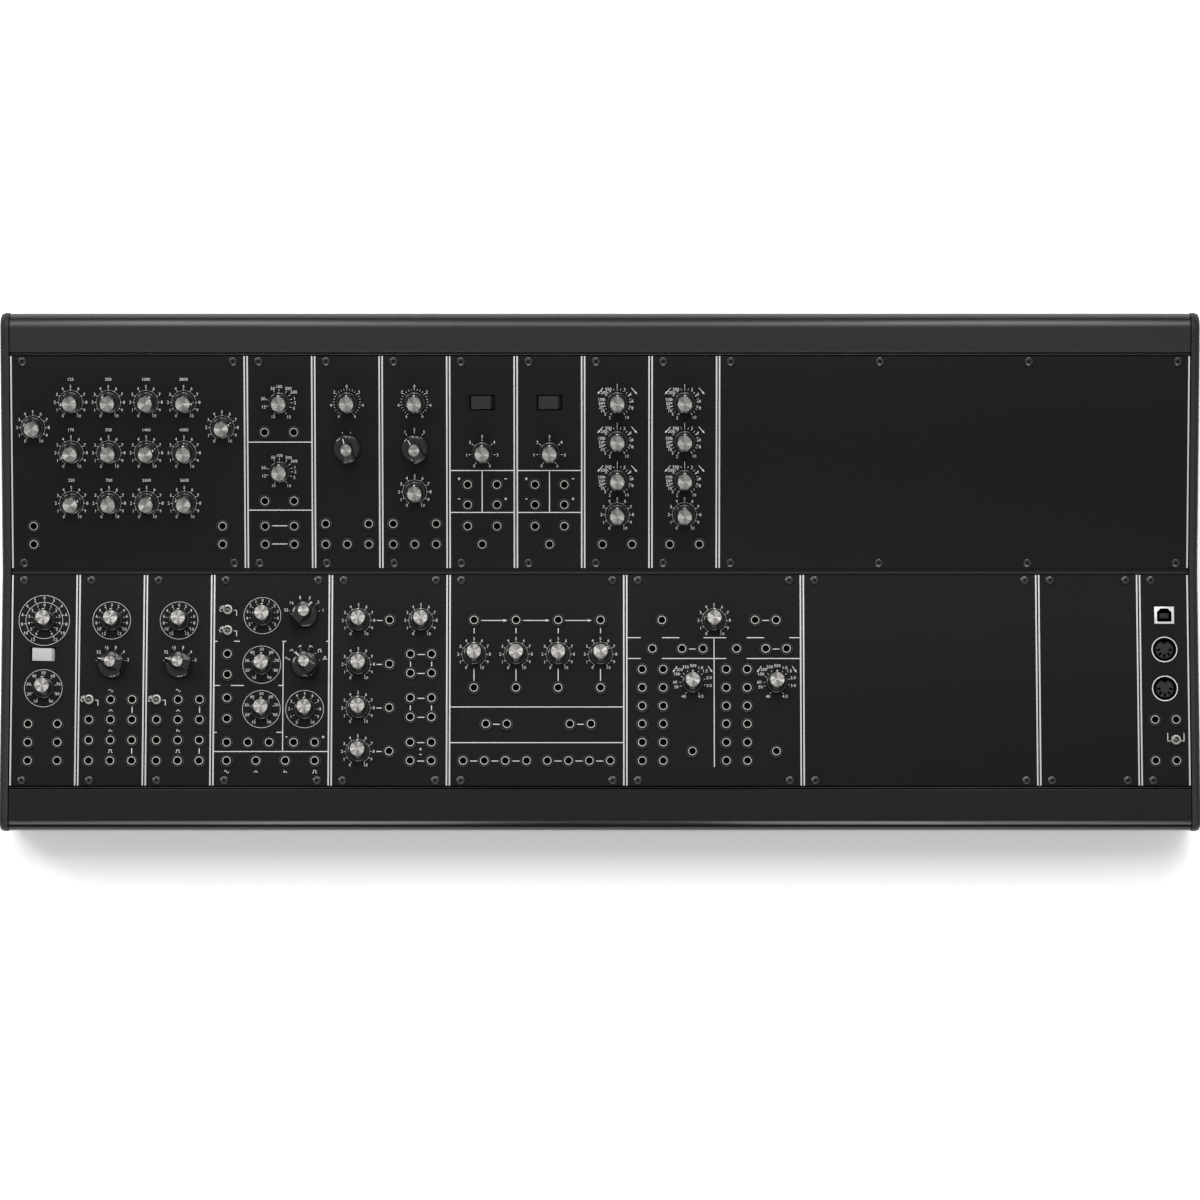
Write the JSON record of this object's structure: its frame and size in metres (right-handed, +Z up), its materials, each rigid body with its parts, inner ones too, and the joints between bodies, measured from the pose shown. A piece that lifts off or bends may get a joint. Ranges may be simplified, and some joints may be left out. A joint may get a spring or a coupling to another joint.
{
  "type": "modular synthesizer",
  "caption": "Low two-row case of black panels with skirted knobs, patch sockets, selectors and switches, lying flat on two foot strips.",
  "frame": {"origin": "On the ground under the middle of the case, which lies on its two foot strips", "axes": "+X to the player's right along the rows, +Y to the back of the case, +Z up"},
  "size_m": [0.7222, 0.3122, 0.0899],
  "materials": {
    "panel_coat": "fine matte black coat",
    "cap_extrusion": "black anodised, satin",
    "cheek_coat": "satin black coat",
    "tray_sheet": "matte black coat",
    "circuit_board": "solder mask",
    "foot_rubber": "matte",
    "knob_black": "moulded, satin",
    "lever_plating": "plated, bright",
    "rocker_black": "moulded, satin",
    "rocker_white": "moulded, satin"
  },
  "bodies": {
    "case": {"case_tray": "tray_sheet", "front_profile": "cap_extrusion", "centre_profile": "cap_extrusion", "top_profile": "cap_extrusion", "left_cheek": "cheek_coat", "right_cheek": "cheek_coat", "power_board": "circuit_board", "front_foot_strip": "foot_rubber", "rear_foot_strip": "foot_rubber", "filter_bank_module": "panel_coat", "dual_filter_module": "panel_coat", "high_pass_module": "panel_coat", "low_pass_module": "panel_coat", "amplifier_module_1": "panel_coat", "amplifier_module_2": "panel_coat", "envelope_module_1": "panel_coat", "envelope_module_2": "panel_coat", "wide_blank_panel": "panel_coat", "oscillator_driver_module": "panel_coat", "oscillator_module_1": "panel_coat", "oscillator_module_2": "panel_coat", "master_oscillator_module": "panel_coat", "mixer_module": "panel_coat", "attenuator_module": "panel_coat", "trigger_module": "panel_coat", "long_blank_panel": "panel_coat", "short_blank_panel": "panel_coat", "converter_module": "panel_coat"},
    "power_switch": {"power_switch": "rocker_black"},
    "filter_bank_low_knob": {"filter_bank_low_knob": "knob_black"},
    "filter_bank_high_knob": {"filter_bank_high_knob": "knob_black"},
    "dual_filter_knob": {"dual_filter_knob": "knob_black"},
    "high_pass_knob": {"high_pass_knob": "knob_black"},
    "high_pass_selector": {"high_pass_selector": "knob_black"},
    "low_pass_knob": {"low_pass_knob": "knob_black"},
    "low_pass_feedback_knob": {"low_pass_feedback_knob": "knob_black"},
    "low_pass_selector": {"low_pass_selector": "knob_black"},
    "amplifier_knob_1": {"amplifier_knob_1": "knob_black"},
    "amplifier_rocker_1": {"amplifier_rocker_1": "rocker_black"},
    "amplifier_knob_2": {"amplifier_knob_2": "knob_black"},
    "amplifier_rocker_2": {"amplifier_rocker_2": "rocker_black"},
    "envelope_knob_1": {"envelope_knob_1": "knob_black"},
    "envelope_knob_2": {"envelope_knob_2": "knob_black"},
    "driver_knob": {"driver_knob": "knob_black"},
    "driver_rocker": {"driver_rocker": "rocker_white"},
    "oscillator_knob_1": {"oscillator_knob_1": "knob_black"},
    "oscillator_selector_1": {"oscillator_selector_1": "knob_black"},
    "oscillator_toggle_1": {"oscillator_toggle_1": "lever_plating"},
    "oscillator_knob_2": {"oscillator_knob_2": "knob_black"},
    "oscillator_selector_2": {"oscillator_selector_2": "knob_black"},
    "oscillator_toggle_2": {"oscillator_toggle_2": "lever_plating"},
    "master_oscillator_knob": {"master_oscillator_knob": "knob_black"},
    "master_range_selector": {"master_range_selector": "knob_black"},
    "master_wave_selector": {"master_wave_selector": "knob_black"},
    "master_upper_toggle": {"master_upper_toggle": "lever_plating"},
    "master_lower_toggle": {"master_lower_toggle": "lever_plating"},
    "mixer_gain_knob": {"mixer_gain_knob": "knob_black"},
    "attenuator_knob": {"attenuator_knob": "knob_black"},
    "trigger_knob": {"trigger_knob": "knob_black"},
    "converter_toggle": {"converter_toggle": "lever_plating"}
  },
  "joints": [
    {"name": "power_switch_tip", "type": "hinge", "parent": "case", "child": "power_switch", "pos_m": [0.254, 0.15321, 0.0203], "axis": [0, 0, -1], "range_deg": [-20, 0]},
    {"name": "filter_bank_low_knob_turn", "type": "hinge", "parent": "case", "child": "filter_bank_low_knob", "pos_m": [-0.34182, 0.08683, 0.06854], "axis": [0, -0.1219, 0.9925], "range_deg": [-210, 90]},
    {"name": "filter_bank_high_knob_turn", "type": "hinge", "parent": "case", "child": "filter_bank_high_knob", "pos_m": [-0.22785, 0.08683, 0.06854], "axis": [0, -0.1219, 0.9925], "range_deg": [-90, 210]},
    {"name": "dual_filter_knob_turn", "type": "hinge", "parent": "case", "child": "dual_filter_knob", "pos_m": [-0.19336, 0.10188, 0.07039], "axis": [0, -0.1219, 0.9925], "range_deg": [-150, 150]},
    {"name": "high_pass_knob_turn", "type": "hinge", "parent": "case", "child": "high_pass_knob", "pos_m": [-0.15256, 0.10188, 0.07039], "axis": [0, -0.1219, 0.9925], "range_deg": [-150, 150]},
    {"name": "high_pass_selector_turn", "type": "hinge", "parent": "case", "child": "high_pass_selector", "pos_m": [-0.1528, 0.07445, 0.06702], "axis": [0, -0.1219, 0.9925], "range_deg": [-30, 0]},
    {"name": "low_pass_knob_turn", "type": "hinge", "parent": "case", "child": "low_pass_knob", "pos_m": [-0.11184, 0.10188, 0.07039], "axis": [0, -0.1219, 0.9925], "range_deg": [-150, 150]},
    {"name": "low_pass_feedback_knob_turn", "type": "hinge", "parent": "case", "child": "low_pass_feedback_knob", "pos_m": [-0.1118, 0.04818, 0.06379], "axis": [0, -0.1219, 0.9925], "range_deg": [-150, 150]},
    {"name": "low_pass_selector_turn", "type": "hinge", "parent": "case", "child": "low_pass_selector", "pos_m": [-0.11192, 0.07433, 0.067], "axis": [0, -0.1219, 0.9925], "range_deg": [-60, 0]},
    {"name": "amplifier_knob_1_turn", "type": "hinge", "parent": "case", "child": "amplifier_knob_1", "pos_m": [-0.07112, 0.0719, 0.06671], "axis": [0, -0.1219, 0.9925], "range_deg": [-150, 150]},
    {"name": "amplifier_rocker_1_tip", "type": "hinge", "parent": "case", "child": "amplifier_rocker_1", "pos_m": [-0.07112, 0.102, 0.06939], "axis": [0, 0.9925, 0.1219], "range_deg": [-20, 0]},
    {"name": "amplifier_knob_2_turn", "type": "hinge", "parent": "case", "child": "amplifier_knob_2", "pos_m": [-0.03048, 0.0719, 0.06671], "axis": [0, -0.1219, 0.9925], "range_deg": [-150, 150]},
    {"name": "amplifier_rocker_2_tip", "type": "hinge", "parent": "case", "child": "amplifier_rocker_2", "pos_m": [-0.03048, 0.102, 0.06939], "axis": [0, 0.9925, 0.1219], "range_deg": [-20, 0]},
    {"name": "envelope_knob_1_turn", "type": "hinge", "parent": "case", "child": "envelope_knob_1", "pos_m": [0.0104, 0.102, 0.0704], "axis": [0, -0.1219, 0.9925], "range_deg": [-150, 150]},
    {"name": "envelope_knob_2_turn", "type": "hinge", "parent": "case", "child": "envelope_knob_2", "pos_m": [0.05104, 0.102, 0.0704], "axis": [0, -0.1219, 0.9925], "range_deg": [-150, 150]},
    {"name": "driver_knob_turn", "type": "hinge", "parent": "case", "child": "driver_knob", "pos_m": [-0.33544, -0.02939, 0.06285], "axis": [0, 0.165, 0.9863], "range_deg": [-150, 150]},
    {"name": "driver_rocker_tip", "type": "hinge", "parent": "case", "child": "driver_rocker", "pos_m": [-0.3358, -0.05009, 0.0653], "axis": [0, 0.9863, -0.165], "range_deg": [-20, 0]},
    {"name": "oscillator_knob_1_turn", "type": "hinge", "parent": "case", "child": "oscillator_knob_1", "pos_m": [-0.29472, -0.02939, 0.06285], "axis": [0, 0.165, 0.9863], "range_deg": [-150, 150]},
    {"name": "oscillator_selector_1_turn", "type": "hinge", "parent": "case", "child": "oscillator_selector_1", "pos_m": [-0.29488, -0.05588, 0.06728], "axis": [0, 0.165, 0.9863], "range_deg": [-150, 0]},
    {"name": "oscillator_toggle_1_throw", "type": "hinge", "parent": "case", "child": "oscillator_toggle_1", "pos_m": [-0.30779, -0.0772, 0.07146], "axis": [0, 0.9863, -0.165], "range_deg": [0, 28]},
    {"name": "oscillator_knob_2_turn", "type": "hinge", "parent": "case", "child": "oscillator_knob_2", "pos_m": [-0.25408, -0.02939, 0.06285], "axis": [0, 0.165, 0.9863], "range_deg": [-150, 150]},
    {"name": "oscillator_selector_2_turn", "type": "hinge", "parent": "case", "child": "oscillator_selector_2", "pos_m": [-0.25424, -0.05588, 0.06728], "axis": [0, 0.165, 0.9863], "range_deg": [-150, 0]},
    {"name": "oscillator_toggle_2_throw", "type": "hinge", "parent": "case", "child": "oscillator_toggle_2", "pos_m": [-0.26715, -0.0772, 0.07146], "axis": [0, 0.9863, -0.165], "range_deg": [0, 28]},
    {"name": "master_oscillator_knob_turn", "type": "hinge", "parent": "case", "child": "master_oscillator_knob", "pos_m": [-0.20379, -0.02648, 0.06236], "axis": [0, 0.165, 0.9863], "range_deg": [-150, 150]},
    {"name": "master_range_selector_turn", "type": "hinge", "parent": "case", "child": "master_range_selector", "pos_m": [-0.1785, -0.02546, 0.06219], "axis": [0, 0.165, 0.9863], "range_deg": [-30, 120]},
    {"name": "master_wave_selector_turn", "type": "hinge", "parent": "case", "child": "master_wave_selector", "pos_m": [-0.17815, -0.05563, 0.06724], "axis": [0, 0.165, 0.9863], "range_deg": [-120, 30]},
    {"name": "master_upper_toggle_throw", "type": "hinge", "parent": "case", "child": "master_upper_toggle", "pos_m": [-0.22468, -0.02308, 0.0624], "axis": [0, 0.9863, -0.165], "range_deg": [0, 28]},
    {"name": "master_lower_toggle_throw", "type": "hinge", "parent": "case", "child": "master_lower_toggle", "pos_m": [-0.22461, -0.0355, 0.06448], "axis": [0, 0.9863, -0.165], "range_deg": [0, 28]},
    {"name": "mixer_gain_knob_turn", "type": "hinge", "parent": "case", "child": "mixer_gain_knob", "pos_m": [-0.10809, -0.02939, 0.06285], "axis": [0, 0.165, 0.9863], "range_deg": [-150, 150]},
    {"name": "attenuator_knob_turn", "type": "hinge", "parent": "case", "child": "attenuator_knob", "pos_m": [-0.07597, -0.0498, 0.06626], "axis": [0, 0.165, 0.9863], "range_deg": [-150, 150]},
    {"name": "trigger_knob_turn", "type": "hinge", "parent": "case", "child": "trigger_knob", "pos_m": [0.0689, -0.02939, 0.06285], "axis": [0, 0.165, 0.9863], "range_deg": [-150, 150]},
    {"name": "converter_toggle_throw", "type": "hinge", "parent": "case", "child": "converter_toggle", "pos_m": [0.34664, -0.10141, 0.07551], "axis": [0, 0.9863, -0.165], "range_deg": [0, 28]}
  ]
}
